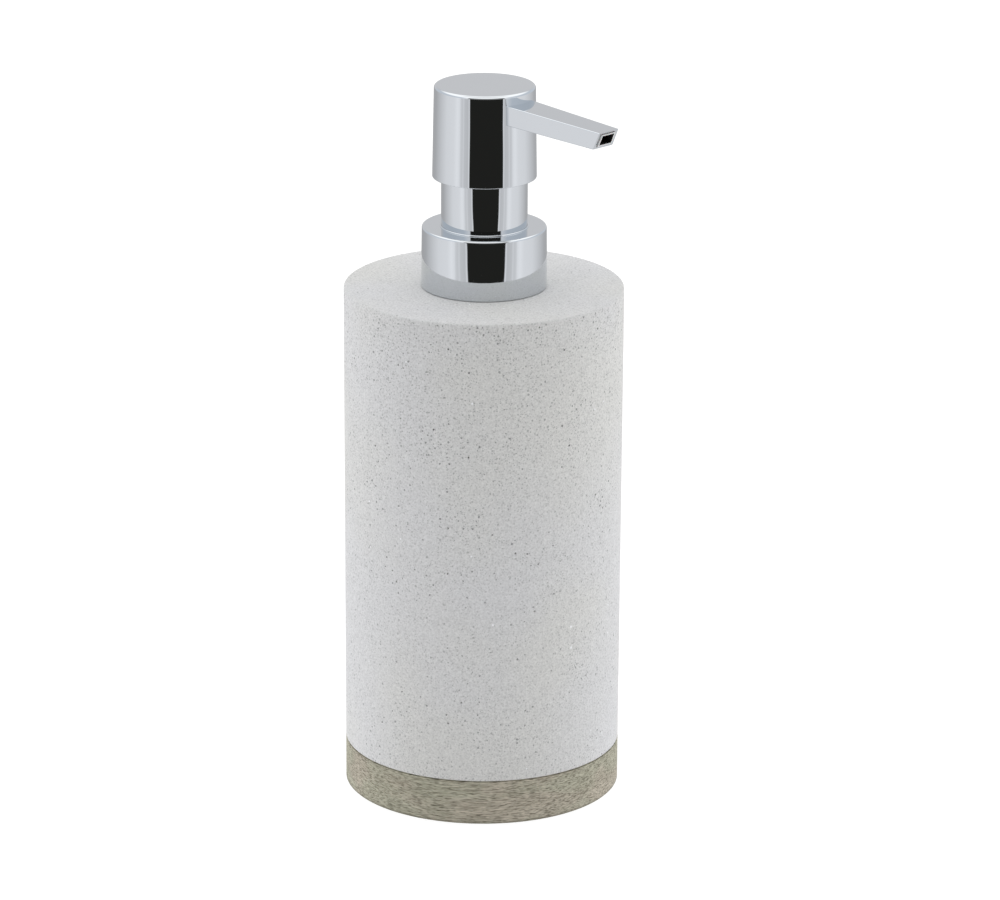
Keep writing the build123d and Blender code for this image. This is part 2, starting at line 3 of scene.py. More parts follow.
from math import cos, pi, radians, sin, tan

import bmesh
import bpy
from bpy.props import FloatProperty, FloatVectorProperty, IntProperty, PointerProperty
from bpy.types import Operator, Panel, PropertyGroup
from mathutils import Matrix, Vector


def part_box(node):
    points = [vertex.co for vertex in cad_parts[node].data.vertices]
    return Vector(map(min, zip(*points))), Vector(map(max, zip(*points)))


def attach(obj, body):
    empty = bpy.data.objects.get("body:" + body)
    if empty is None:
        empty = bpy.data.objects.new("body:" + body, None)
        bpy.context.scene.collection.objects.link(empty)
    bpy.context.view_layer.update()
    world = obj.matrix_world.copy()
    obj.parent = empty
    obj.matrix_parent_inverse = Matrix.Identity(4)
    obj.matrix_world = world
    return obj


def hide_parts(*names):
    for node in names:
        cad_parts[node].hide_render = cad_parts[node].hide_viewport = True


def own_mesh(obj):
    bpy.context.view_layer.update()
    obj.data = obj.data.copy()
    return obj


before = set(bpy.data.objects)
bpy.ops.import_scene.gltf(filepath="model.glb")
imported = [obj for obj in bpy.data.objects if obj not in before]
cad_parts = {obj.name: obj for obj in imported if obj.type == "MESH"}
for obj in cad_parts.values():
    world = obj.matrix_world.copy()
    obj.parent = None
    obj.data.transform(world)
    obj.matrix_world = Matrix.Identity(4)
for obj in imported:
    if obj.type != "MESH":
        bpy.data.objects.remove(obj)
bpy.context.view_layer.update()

bl_info = {
    "name": "Soap Pump Dispenser",
    "version": (1, 0, 0),
    "blender": (4, 5, 0),
    "location": "View3D > Sidebar > Dispenser",
    "description": "Dresses the packed soap dispenser in stone, wood, chrome and plastic",
    "category": "Object",
}

MM = 0.001
TURN_STEPS = 288
ROUND_STEPS = 7
EDGE_STEPS = 5
SPRING_STEPS = 32
WIRE_SIDES = 16
SHARP_ANGLE = radians(28)
SEAT_GAP = 0.1 * MM
WINDOW_MARGIN = 1 * MM
MERGE_DISTANCE = 0.0005 * MM
LONG_EDGE = 20 * MM
SENSOR_WIDTH = 36

# What the chrome mirrors: degrees from the camera's bearing, and the light there
DARK, PALE, COOL = (0.020, 0.020, 0.018), (1.0, 1.0, 1.02), (0.93, 0.99, 1.07)
FLOOR_MIRRORED = (
    (0, 1, DARK), (33.6, 1, DARK), (34.6, 0.95, PALE), (36.6, 0.92, PALE), (37.6, 0.71, PALE),
    (47, 0.76, PALE), (49.5, 0.90, PALE), (52, 0.80, PALE), (56, 0.86, PALE), (59, 1.02, PALE),
    (65, 1.09, PALE), (74, 0.99, PALE), (95, 0.95, PALE), (110, 0.82, PALE), (125, 0.68, PALE),
    (140, 0.54, PALE), (180, 0.45, PALE),
)
FLOOR_SHADED = ((0, 0.64, PALE), (25, 0.64, PALE), (60, 1, PALE))
WALLS_MIRRORED = (
    (0, 1, DARK), (40, 1, DARK), (43, 1.1, PALE), (60, 0.86, COOL), (110, 0.80, COOL),
    (140, 0.78, COOL), (165, 0.74, PALE), (180, 0.72, PALE),
)

# The sky by the height of a direction: where it brightens, where the lamp starts and where it fades
SKY_RISE, LAMP_EDGE, LAMP_FADE = (0.35, 1.0), (0.45, 0.7), (0.84, 0.95)

# The dark flag's right side: degrees from the camera's bearing, and height in metres
FLAG_SIDE = ((40, 0), (39, 0.045), (37.8, 0.2), (42, 0.26), (42, 0.4))


# Properties

def length(name, description, default):
    """A size in metres."""
    return FloatProperty(
        name=name, description=description, default=default, precision=5, unit="LENGTH"
    )


def share(name, description, default):
    """A number from 0 to 1."""
    return FloatProperty(
        name=name, description=description, default=default, min=0, max=1, subtype="FACTOR"
    )


def colour(name, description, default):
    """A linear colour."""
    return FloatVectorProperty(
        name=name, description=description, default=default, size=3, min=0, max=1, subtype="COLOR"
    )


def angle(name, description, degrees):
    """An angle in radians."""
    return FloatProperty(
        name=name, description=description, default=radians(degrees), subtype="ANGLE"
    )


def outer_radius(node):
    """A turned CAD node's largest radius."""
    return -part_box(node)[0].x


def low_z(node):
    """Height of a CAD node's lowest point."""
    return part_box(node)[0].z


def high_z(node):
    """Height of a CAD node's highest point."""
    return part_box(node)[1].z


class StoneBodySettings(PropertyGroup):
    radius: length("Radius", "Radius at the top rim", outer_radius("body_shell"))
    draft: length("Draft", "Growth in radius from the foot to the rim", 0.25 * MM)
    wall: length("Wall", "Thickness of the cast wall at the foot", 4 * MM)
    roof: length("Roof", "Thickness of the roof round the mouth", 5 * MM)
    rim: length("Rim radius", "Rounding of the top rim", 0.6 * MM)
    inside: length("Inner radius", "Rounding between the wall and the roof", 5 * MM)
    ledge: length("Ledge", "Width of the ledge in the mouth that the neck sits on", 1.5 * MM)
    ledge_depth: length("Ledge depth", "From the top down to the ledge", 1.2 * MM)
    foot: length("Foot chamfer", "Chamfer above the wooden base", 0.3 * MM)
    cool: colour("Cool stone", "Bluer patches of the stone", (0.716, 0.719, 0.730))
    warm: colour("Warm stone", "Warmer patches of the stone", (0.722, 0.722, 0.707))
    grain: colour("Grain", "Grey grains in the stone", (0.270, 0.275, 0.275))
    dark_grain: colour("Dark grain", "The darkest grains", (0.085, 0.085, 0.085))


class WoodenBaseSettings(PropertyGroup):
    radius: length("Radius", "Radius of the turned disc", outer_radius("wooden_base"))
    foot: length("Foot chamfer", "Chamfer of the lower edge", 0.25 * MM)
    seam: length("Seam", "Height of the shadow groove below the stone", 0.22 * MM)
    seam_depth: length("Seam depth", "Depth of the shadow groove", 0.45 * MM)
    seam_edge: length("Seam edge", "Rounding of the groove's edge", 0.1 * MM)
    heading: angle("Grain heading", "Direction of the grain, from the spout", 40)
    light: colour("Light wood", "Washed surface between the pores", (0.610, 0.578, 0.482))
    middle: colour("Middle wood", "Most of the surface", (0.440, 0.414, 0.333))
    # The dark wood also colours the painted shade along the base's lower edge.
    dark: colour("Dark wood", "Open pores and streaks", (0.140, 0.130, 0.096))


class FootPadSettings(PropertyGroup):
    radius: length("Radius", "Radius of the pad", outer_radius("foot_pad"))
    edge: length("Edge radius", "Rounding of the lower edge", 0.25 * MM)
    tint: colour("Rubber", "Colour of the pad", (0.055, 0.055, 0.058))


class ChromeSettings(PropertyGroup):
    tint: colour("Chrome", "Reflectance of the plating", (0.640, 0.665, 0.688))
    haze: share("Haze", "Mean roughness of the plating", 0.025)
    ripple: length("Ripple", "Depth of the slow ripple under the plating", 0.045 * MM)


class CollarSettings(PropertyGroup):
    radius: length("Radius", "Radius at the foot", outer_radius("collar_cover"))
    draft: length("Draft", "Narrowing from the foot to the top", 0.2 * MM)
    wall: length("Wall", "Thickness of the shell", 1.0 * MM)
    edge: length("Edge radius", "Rounding of the top edge", 0.55 * MM)
    hole: length("Hole", "Radius of the hole for the sleeve", 11.18 * MM)
    lip: length("Lip", "Width and height of the rolled lip round the sleeve", 0.3 * MM)
    lip_edge: length("Lip edge", "Rounding of the lip", 0.255 * MM)
    foot: length("Foot edge", "Rounding of the lower edge", 0.1 * MM)
    gap: length("Gap", "Room between the collar and the stone", 0.15 * MM)


class NeckSleeveSettings(PropertyGroup):
    radius: length("Radius", "Radius of the sleeve", 11.15 * MM)
    wall: length("Wall", "Thickness of the sleeve", 1.25 * MM)
    flange: length("Flange", "Thickness of the foot flange", 0.8 * MM)
    pocket: length("Pocket", "Widening of the bore at the foot", 0.4 * MM)
    pocket_height: length("Pocket height", "Height of the wider bore", 2 * MM)
    bead: length("Bead", "How far the snap bead stands out", 0.6 * MM)
    bead_height: length("Bead height", "Height of the snap bead", 0.4 * MM)
    bead_rise: length("Bead rise", "From the collar's foot to the top of the bead", 14.5 * MM)
    edge: length("Edge radius", "Rounding of the top edge", 0.3 * MM)


class HeadSettings(PropertyGroup):
    radius: length("Radius", "Radius at the foot", outer_radius("head_cap"))
    draft: length("Draft", "Narrowing from the foot to the top", 0.4 * MM)
    bore: length("Bore", "Inner radius of the cup", 11.65 * MM)
    roof: length("Roof", "Thickness of the top", 1.2 * MM)
    edge: length("Edge radius", "Rounding of the top edge", 0.8 * MM)
    foot: length("Foot edge", "Rounding of the lower edge", 0.2 * MM)


class SpoutSettings(PropertyGroup):
    root_width: length("Root width", "Width at the head's wall", 9.3 * MM)
    tip_width: length("Tip width", "Width at the tip", 7.0 * MM)
    root_height: length("Root height", "Height at the head's wall", 5.05 * MM)
    tip_height: length("Tip height", "Height at the tip", 4.65 * MM)
    droop: angle("Droop", "Fall of the spout's top", 2.5)
    drop: length("Drop", "Step from the head's top to the spout", 2.7 * MM)
    undercut: length("Undercut", "How far the tip is cut back below", 2.15 * MM)
    side_wall: length("Side wall", "Thickness of the sides", 1.2 * MM)
    top_wall: length("Top wall", "Thickness of top and bottom", 0.8 * MM)
    edge: length("Edge radius", "Rounding of the long edges", 0.22 * MM)
    bond: length("Bond", "How far the bonded pieces run into each other", 0.1 * MM)
    liner_wall: length("Liner wall", "Thickness of the liner", 0.45 * MM)
    liner_proud: length("Liner proud", "How far the liner stands out of the end", 0.35 * MM)
    liner_tint: colour("Liner", "Colour of the liner", (0.80, 0.81, 0.82))
    # The bore's near-black colour is painted shade inside the liner's hole.
    bore_shade_tint: colour("Bore", "Colour inside the liner", (0.012, 0.012, 0.012))


class SpringSettings(PropertyGroup):
    wire: length("Wire", "Diameter of the wire", 1.0 * MM)
    turns: IntProperty(name="Turns", description="Number of turns", default=8, min=2)
    pressed: length("Pressed length", "Length at full press", 14 * MM)
    seat: length("Seat", "Height of the spring's lower seat", 110.4 * MM)
    nose: length("Nose", "How far the stem's tip reaches into the spring", 4 * MM)
    tint: colour("Steel", "Reflectance of the wire", (0.520, 0.515, 0.500))


class InnerPartsSettings(PropertyGroup):
    white: colour("White plastic", "Neck, closure, guide and core", (0.800, 0.800, 0.780))
    natural: colour("Natural plastic", "Barrel, stem and cage", (0.680, 0.700, 0.690))
    tube: colour("Tube", "Suction tube", (0.740, 0.755, 0.750))
    seal: colour("Seal", "Gasket and piston", (0.330, 0.340, 0.350))
    ball: colour("Ball", "Reflectance of the check balls", (0.560, 0.555, 0.545))


class StageSettings(PropertyGroup):
    floor: FloatProperty(name="Floor", description="Brightness of the floor", default=1.15)
    sky: FloatProperty(name="Sky", description="Brightness near the horizon", default=0.95)
    zenith: FloatProperty(name="Zenith", description="Brightness overhead", default=1.12)
    overhead: FloatProperty(
        name="Overhead", description="Brightness overhead in reflections", default=1.5
    )
    front: share("Front", "Brightness of the upper front in reflections", 0.32)
    floor_matt: share("Floor matt", "Part of the floor's brightness that takes shadows", 0.2)
    floor_reach: length("Floor reach", "From the dispenser to the floor's edge", 8)
    floor_drop: length("Floor drop", "Room between the floor and the pad", 0.02 * MM)
    shade_start: length("Shade start", "Where the shaded floor in front is darkest", 60 * MM)
    shade_end: length("Shade end", "Where the shaded floor in front ends", 160 * MM)
    front_turn: angle("Front turn", "Turn of the mirrored front from the camera's bearing", 4)
    flare: FloatProperty(
        name="Flare", description="Widening of the mirrored dark front per metre", default=0.3
    )
    flare_start: length("Flare start", "Where the mirrored front has its stated width", 580 * MM)
    flare_end: length("Flare end", "Where the mirrored front stops widening", 630 * MM)
    flag_distance: length("Flag distance", "From the dispenser to the dark flag", 0.4)
    target: FloatVectorProperty(
        name="Target",
        description="Point that the camera looks at",
        default=(1.976 * MM, 4.218 * MM, 90.536 * MM),
        subtype="XYZ",
        unit="LENGTH",
    )
    distance: length("Distance", "From the target to the camera", 1379.13 * MM)
    azimuth: angle("Azimuth", "Camera's bearing, from the front towards the spout", 44.73)
    elevation: angle("Elevation", "Camera's height above the horizon", 18.046)
    roll: angle("Roll", "Camera's lean", 0.3225)
    lens: FloatProperty(
        name="Lens", description="Focal length in millimetres", default=190.13, unit="CAMERA"
    )


class DispenserSettings(PropertyGroup):
    stone_body: PointerProperty(type=StoneBodySettings)
    wooden_base: PointerProperty(type=WoodenBaseSettings)
    foot_pad: PointerProperty(type=FootPadSettings)
    chrome: PointerProperty(type=ChromeSettings)
    collar: PointerProperty(type=CollarSettings)
    neck_sleeve: PointerProperty(type=NeckSleeveSettings)
    head: PointerProperty(type=HeadSettings)
    spout: PointerProperty(type=SpoutSettings)
    spring: PointerProperty(type=SpringSettings)
    inner_parts: PointerProperty(type=InnerPartsSettings)
    stage: PointerProperty(type=StageSettings)


# Shader nodes

class Wire:
    """A shader socket; arithmetic on it adds Math nodes."""

    def __init__(self, nodes, socket):
        self.nodes = nodes
        self.socket = socket

    def math(self, operation, first, second):
        """A Math node on two wires or numbers."""
        return self.nodes.add("ShaderNodeMath", {"operation": operation}, {0: first, 1: second})

    def other(self, output):
        """Another output of the same node."""
        return Wire(self.nodes, self.socket.node.outputs[output])

    def __add__(self, other):
        return self.math("ADD", self, other)

    __radd__ = __add__

    def __sub__(self, other):
        return self.math("SUBTRACT", self, other)

    def __rsub__(self, other):
        return self.math("SUBTRACT", other, self)

    def __mul__(self, other):
        return self.math("MULTIPLY", self, other)

    __rmul__ = __mul__

    def __lt__(self, other):
        return self.math("LESS_THAN", self, other)

    def __gt__(self, other):
        return self.math("GREATER_THAN", self, other)


class Nodes:
    """A node tree that nodes are added to."""

    def __init__(self, tree):
        self.tree = tree

    def add(self, kind, settings=None, sockets=None, output=0):
        """A new node: its settings, the values or wires of its sockets, and the output returned."""
        node = self.tree.nodes.new(kind)
        for key, value in (settings or {}).items():
            if key == "stops":
                ramp = node.color_ramp
                while len(ramp.elements) < len(value):
                    ramp.elements.new(1)
                for element, (position, tint) in zip(ramp.elements, value):
                    element.position = position
                    element.color = (*tint, 1)
            else:
                setattr(node, key, value)
        for key, value in (sockets or {}).items():
            if isinstance(value, Wire):
                self.tree.links.new(value.socket, node.inputs[key])
            else:
                node.inputs[key].default_value = value
        return Wire(self, node.outputs[output])

    def mix(self, factor, first, second, blend="MIX"):
        """One colour laid over another."""
        ends = [end if isinstance(end, Wire) else (*end, 1) for end in (first, second)]
        return self.add(
            "ShaderNodeMix",
            {"data_type": "RGBA", "blend_type": blend},
            {0: factor, 6: ends[0], 7: ends[1]},
            2,
        )

    def noise(self, place, size, detail=2.0, distortion=0.0):
        """Noise with features of a size in metres."""
        return self.add(
            "ShaderNodeTexNoise",
            None,
            {"Vector": place, "Scale": 1 / size, "Detail": detail, "Distortion": distortion},
        )

    def step(self, value, start, end):
        """0 below start and 1 above end, smooth between them."""
        return self.add(
            "ShaderNodeMapRange",
            {"interpolation_type": "SMOOTHSTEP"},
            {"Value": value, "From Min": start, "From Max": end},
        )


class Finish(Nodes):
    """A material, and the nodes that feed its shader."""

    def __init__(self, name, fixed):
        self.material = bpy.data.materials.new(name)
        self.material.use_nodes = True
        super().__init__(self.material.node_tree)
        self.shader = self.tree.nodes["Principled BSDF"]
        for key, value in fixed.items():
            self.shader.inputs[key].default_value = value
        self.place = self.add("ShaderNodeTexCoord", output="Object")

    def feed(self, socket, wire):
        """Links a wire to a socket of the shader."""
        self.tree.links.new(wire.socket, self.shader.inputs[socket])

    def relief(self, height, depth, strength=1.0):
        """Bumps of a depth in metres."""
        bump = self.add(
            "ShaderNodeBump", None, {"Height": height, "Distance": depth, "Strength": strength}
        )
        self.feed("Normal", bump)


def grains(finish, place, spacing, smallest, largest, part):
    """Grains strewn through a cast, as a mask and a random number for each; part of them show."""
    cells = finish.add(
        "ShaderNodeTexVoronoi", {"feature": "F1"}, {"Vector": place, "Scale": 1 / spacing}
    )
    chance = finish.add("ShaderNodeSeparateColor", None, {"Color": cells.other("Color")})
    radius = chance * ((largest - smallest) / spacing) + smallest / spacing
    shown = chance.other("Green") < part
    return finish.step(cells, radius, radius * 0.55) * shown, chance.other("Blue")


def cast_stone(settings):
    """Pale cast stone with grey grains, a few dark ones and a few white specks painted as glints.
    """
    finish = Finish("Cast stone", {"Specular IOR Level": 0.35})
    wander = finish.noise(finish.place, 0.35 * MM, 1).other("Color")
    ragged = finish.add(
        "ShaderNodeVectorMath",
        {"operation": "MULTIPLY_ADD"},
        {0: wander, 1: (0.4 * MM,) * 3, 2: finish.place},
    )
    patches = finish.step(finish.noise(finish.place, 45 * MM, 1.5), 0.35, 0.65)
    powder = finish.noise(finish.place, 0.5 * MM, 1)
    cloud = finish.noise(finish.place, 3 * MM, 2)
    tint = finish.mix(patches, tuple(settings.cool), tuple(settings.warm))
    shade = 0.73 + 0.5 * powder + 0.08 * cloud
    tint = finish.mix(1.0, tint, finish.add(
        "ShaderNodeCombineColor", None, {"Red": shade, "Green": shade, "Blue": shade}
    ), "MULTIPLY")
    fine, fine_tone = grains(finish, ragged, 0.55 * MM, 0.15 * MM, 0.28 * MM, 0.85)
    coarse, coarse_tone = grains(finish, ragged, 1.05 * MM, 0.22 * MM, 0.38 * MM, 0.8)
    black, _ = grains(finish, ragged, 2.4 * MM, 0.22 * MM, 0.36 * MM, 0.4)
    # Painted glints: white specks in the colour that stand in for the stone's sparkle.
    painted_glint, _ = grains(finish, finish.place, 4 * MM, 0.26 * MM, 0.42 * MM, 0.12)
    level = finish.add("ShaderNodeSeparateXYZ", None, {"Vector": finish.place}, "Z")
    drift = finish.step(finish.noise(finish.place, 16 * MM, 1), 0.3, 0.65)
    clumps = 0.5 + finish.step(finish.noise(finish.place, 5 * MM, 1), 0.36, 0.64)
    top = high_z("body_shell")
    strength = 0.5 + 0.35 * drift + 0.35 * finish.step(level, top - 80 * MM, top - 10 * MM)
    strength = strength * (1 - 0.5 * finish.step(level, top - settings.rim, top))
    tint = finish.mix(strength * fine * (0.15 + 0.5 * fine_tone), tint, tuple(settings.grain))
    coarse_tone = 0.15 + 0.85 * coarse_tone * coarse_tone
    tint = finish.mix(strength * clumps * coarse * coarse_tone, tint, tuple(settings.grain))
    tint = finish.mix(strength * black, tint, tuple(settings.dark_grain))
    tint = finish.mix(painted_glint, tint, (0.97, 0.98, 1.0))
    finish.feed("Base Color", tint)
    finish.feed("Roughness", 0.72 + 0.12 * powder - 0.2 * black)
    finish.relief(powder * 0.6 + cloud * 0.4 - coarse * 0.5 - black * 0.6, 0.05 * MM, 0.5)
    return finish.material


def washed_wood(settings):
    """Grey washed hardwood: long pores along the grain, dots where the grain ends, painted shade
    along the foot.
    """
    finish = Finish("Washed wood", {"Specular IOR Level": 0.3})
    along = finish.add(
        "ShaderNodeVectorRotate",
        {"rotation_type": "Z_AXIS", "invert": True},
        {"Vector": finish.place, "Angle": settings.heading},
    )

    def fibres(length, width, height, detail, distortion):
        """Noise drawn out along the grain."""
        drawn = finish.add(
            "ShaderNodeMapping",
            None,
            {"Vector": along, "Scale": (1 / length, 1 / width, 1 / height)},
        )
        return finish.add(
            "ShaderNodeTexNoise",
            None,
            {"Vector": drawn, "Scale": 1.0, "Detail": detail, "Distortion": distortion},
        )

    broad = fibres(34 * MM, 12 * MM, 4 * MM, 2, 0.3)
    wash = fibres(4.5 * MM, 1.6 * MM, 0.36 * MM, 1, 0.3)
    fleck = finish.step(fibres(2.5 * MM, 1.05 * MM, 0.26 * MM, 1, 0.4), 0.45, 0.65)
    pore = finish.step(fibres(1.5 * MM, 0.65 * MM, 0.22 * MM, 1, 0.2), 0.48, 0.7)
    tint = finish.add(
        "ShaderNodeValToRGB",
        {"stops": [(0.40, tuple(settings.middle)), (0.62, tuple(settings.light))]},
        {"Fac": 0.35 * broad + 0.65 * wash},
    )
    open_grain = 0.58 * fleck + 0.38 * pore
    tint = finish.mix(open_grain, tint, tuple(settings.dark))
    level = finish.add("ShaderNodeSeparateXYZ", None, {"Vector": finish.place}, "Z")
    foot = low_z("wooden_base")
    # Painted shade: the base darkens over its lowest 0.8 mm, standing in for the contact shadow
    # under its edge.
    rim = finish.step(level, foot + 0.8 * MM, foot + 0.3 * MM)
    tint = finish.mix(0.55 * rim, tint, tuple(settings.dark))
    blush = finish.step(fibres(26 * MM, 12 * MM, 7 * MM, 1, 0.2), 0.4, 0.65)
    flush = finish.mix(blush, (0.975, 1.0, 0.95), (1.02, 0.98, 0.96))
    tint = finish.mix(1.0, tint, flush, "MULTIPLY")
    finish.feed("Base Color", tint)
    finish.feed("Roughness", 0.62 + 0.2 * open_grain)
    finish.relief(1 - open_grain, 0.09 * MM, 0.5)
    return finish.material


def chrome_plate(settings):
    """Bright chrome plate with a trace of haze."""
    name = "Chrome plate"
    if name in bpy.data.materials:
        return bpy.data.materials[name]
    finish = Finish(name, {"Metallic": 1.0})
    smear = finish.noise(finish.place, 6 * MM, 3, 0.6)
    tint = tuple(settings.tint)
    finish.feed("Base Color", finish.mix(smear, tint, tuple(0.985 * part for part in tint)))
    finish.feed("Roughness", settings.haze * (0.6 + 0.8 * smear))
    finish.relief(finish.noise(finish.place, 11 * MM, 0), settings.ripple)
    return finish.material


def moulded_plastic(name, tint, roughness, grain):
    """Moulded plastic with a faint flow in its colour and the mould's grain."""
    finish = Finish(name, {"Subsurface Weight": 0.05, "Subsurface Scale": 1 * MM})
    flow = finish.noise(finish.place, 7 * MM, 2, 0.8)
    spark = finish.noise(finish.place, grain, 2)
    tint = tuple(tint)
    finish.feed("Base Color", finish.mix(flow, tuple(0.93 * part for part in tint), tint))
    finish.feed("Roughness", roughness - 0.06 + 0.12 * spark)
    finish.relief(spark, 0.02 * MM, 0.35)
    return finish.material


def rubber(name, tint):
    """Matt rubber with a dusty bloom."""
    finish = Finish(name, {"Specular IOR Level": 0.3})
    bloom = finish.noise(finish.place, 5 * MM, 3)
    grit = finish.noise(finish.place, 0.5 * MM, 2)
    tint = tuple(tint)
    dusty = tuple(part + 0.03 for part in tint)
    finish.feed("Base Color", finish.mix(bloom, tint, dusty))
    finish.feed("Roughness", 0.7 + 0.2 * grit)
    finish.relief(grit, 0.04 * MM, 0.5)
    return finish.material


def drawn_steel(name, tint, roughness):
    """Bare steel with fine wear."""
    finish = Finish(name, {"Metallic": 1.0})
    wear = finish.noise(finish.place, 1.5 * MM, 3, 0.5)
    tint = tuple(tint)
    finish.feed("Base Color", finish.mix(wear, tuple(0.88 * part for part in tint), tint))
    finish.feed("Roughness", roughness * (0.6 + 0.8 * wear))
    return finish.material


# Modelling

def turned(outline, rounds, closed=True):
    """A shape turned about Z from its half section; rounds holds corners' radii by their place."""
    bm = bmesh.new()
    corners = [bm.verts.new((radius, 0, z)) for radius, z in outline]
    ends = corners[1:] + corners[:1]
    for start, end in list(zip(corners, ends))[: None if closed else -1]:
        bm.edges.new((start, end))
    for place, radius in rounds.items():
        bmesh.ops.bevel(
            bm,
            geom=[corners[place]],
            offset=radius,
            offset_type="OFFSET",
            segments=ROUND_STEPS,
            profile=0.5,
            affect="VERTICES",
            clamp_overlap=False,
            material=-1,
        )
    bmesh.ops.spin(
        bm,
        geom=bm.verts[:] + bm.edges[:],
        axis=(0, 0, 1),
        cent=(0, 0, 0),
        steps=TURN_STEPS,
        angle=2 * pi,
        use_merge=True,
    )
    bmesh.ops.remove_doubles(bm, verts=bm.verts, dist=MERGE_DISTANCE)
    bmesh.ops.recalc_face_normals(bm, faces=bm.faces)
    return bm


def add_piece(name, bm, materials, body, node):
    """A finished piece that rides on a body and stands for a CAD node."""
    if any(not edge.is_manifold for edge in bm.edges):
        raise RuntimeError(f"{name} isn't closed")
    for face in bm.faces:
        face.smooth = True
    for edge in bm.edges:
        edge.smooth = edge.calc_face_angle(pi) < SHARP_ANGLE
    mesh = bpy.data.meshes.new(name)
    bm.to_mesh(mesh)
    bm.free()
    piece = bpy.data.objects.new(name, mesh)
    bpy.context.scene.collection.objects.link(piece)
    for material in materials:
        mesh.materials.append(material)
    flats = piece.modifiers.new("Flat faces", "WEIGHTED_NORMAL")
    flats.mode = "FACE_AREA"
    flats.keep_sharp = True
    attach(piece, body)
    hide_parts(node)
    return piece


def tapered_bar(bm, start, end):
    """A closed bar from one section to another; a section is the matrix of its unit square."""
    grid = bmesh.ops.create_grid(bm, x_segments=1, y_segments=1, size=0.5, matrix=start)
    base = grid["verts"][0].link_faces[0]
    grown = bmesh.ops.extrude_face_region(bm, geom=[base])["geom"]
    far = [item for item in grown if isinstance(item, bmesh.types.BMVert)]
    bmesh.ops.transform(bm, matrix=end @ start.inverted(), verts=far)
    bmesh.ops.recalc_face_normals(bm, faces=bm.faces)


def end_faces(bm):
    """The bar's root face and tip face."""
    by_distance = sorted(bm.faces, key=lambda face: face.calc_center_median().x)
    return by_distance[0], by_distance[-1]


def cut_tip(bm, point, normal):
    """Cuts a bar off on a plane and closes it again."""
    cut = bmesh.ops.bisect_plane(
        bm,
        geom=bm.verts[:] + bm.edges[:] + bm.faces[:],
        plane_co=point,
        plane_no=normal,
        clear_outer=True,
    )
    rim = [item for item in cut["geom_cut"] if isinstance(item, bmesh.types.BMEdge)]
    bmesh.ops.holes_fill(bm, edges=rim, sides=0)


def hollow_bar(bm, side_wall, top_wall):
    """Bores a bar from end to end and returns the bore's faces."""
    rims = []
    for face in end_faces(bm):
        bmesh.ops.inset_individual(bm, faces=[face], thickness=top_wall)
        width = max(vert.co.y for vert in face.verts)
        bmesh.ops.scale(
            bm, vec=(1, 1 - (side_wall - top_wall) / width, 1), verts=face.verts[:]
        )
        rims += face.edges[:]
        bmesh.ops.delete(bm, geom=[face], context="FACES_ONLY")
    return bmesh.ops.bridge_loops(bm, edges=rims)["faces"]


class SpoutForm:
    """The spout's tapering, drooping sections between the head's wall and the tip."""

    def __init__(self, settings, head):
        self.settings = settings
        self.root_x = head.radius - head.draft
        self.tip_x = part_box("spout_shell")[1].x
        self.start_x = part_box("spout_shell")[0].x
        self.top_z = high_z("head_cap") - settings.drop

    def along(self, x, root, tip):
        """A size at a distance from the axis, between the head's wall and the tip."""
        return root + (tip - root) * (x - self.root_x) / (self.tip_x - self.root_x)

    def upper_z(self, x):
        """Height of the spout's top at a distance from the axis."""
        return self.top_z - (x - self.root_x) * tan(self.settings.droop)

    def section(self, x, side_inset=0.0, height_inset=0.0):
        """The matrix that takes a unit square to the section at a distance from the axis."""
        size = self.settings
        width = self.along(x, size.root_width, size.tip_width) - 2 * side_inset
        height = self.along(x, size.root_height, size.tip_height)
        middle = self.upper_z(x) - height / 2
        height -= 2 * height_inset
        return Matrix(((0, 0, 1, x), (width, 0, 0, 0), (0, height, 0, middle), (0, 0, 0, 1)))

    def tip_plane(self, proud=0.0):
        """A point and the outward direction of the slanted end."""
        normal = Vector((self.settings.tip_height, 0, -self.settings.undercut)).normalized()
        point = Vector((self.tip_x, 0, self.upper_z(self.tip_x)))
        return point + proud * normal, normal

    def bar(self, side_inset=0.0, height_inset=0.0, proud=0.0):
        """The bar cut at its slanted end."""
        bm = bmesh.new()
        tapered_bar(
            bm,
            self.section(self.start_x, side_inset, height_inset),
            self.section(self.tip_x + self.settings.undercut, side_inset, height_inset),
        )
        cut_tip(bm, *self.tip_plane(proud))
        return bm


# Operators

class DISPENSER_OT_stone_body(Operator):
    """Turn the cast stone bottle"""

    bl_idname = "dispenser.stone_body"
    bl_label = "Stone Body"

    def execute(self, context):
        size = context.scene.dispenser.stone_body
        bottom, top = low_z("body_shell"), high_z("body_shell")
        foot_radius = size.radius - size.draft
        bore = foot_radius - size.wall
        seat = outer_radius("bottom_plug") + SEAT_GAP
        floor = high_z("bottom_plug")
        mouth = outer_radius("neck_insert") + SEAT_GAP
        throat = mouth - size.ledge
        ledge_z = top - size.ledge_depth
        bm = turned(
            [
                (seat, bottom),
                (foot_radius - size.foot, bottom),
                (foot_radius, bottom + size.foot),
                (size.radius, top),
                (mouth, top),
                (mouth, ledge_z),
                (throat, ledge_z),
                (throat, top - size.roof),
                (bore, top - size.roof),
                (bore, floor),
                (seat, floor),
            ],
            {3: size.rim, 8: size.inside},
        )
        add_piece("stone_body", bm, [cast_stone(size)], "bottle", "body_shell")
        return {"FINISHED"}


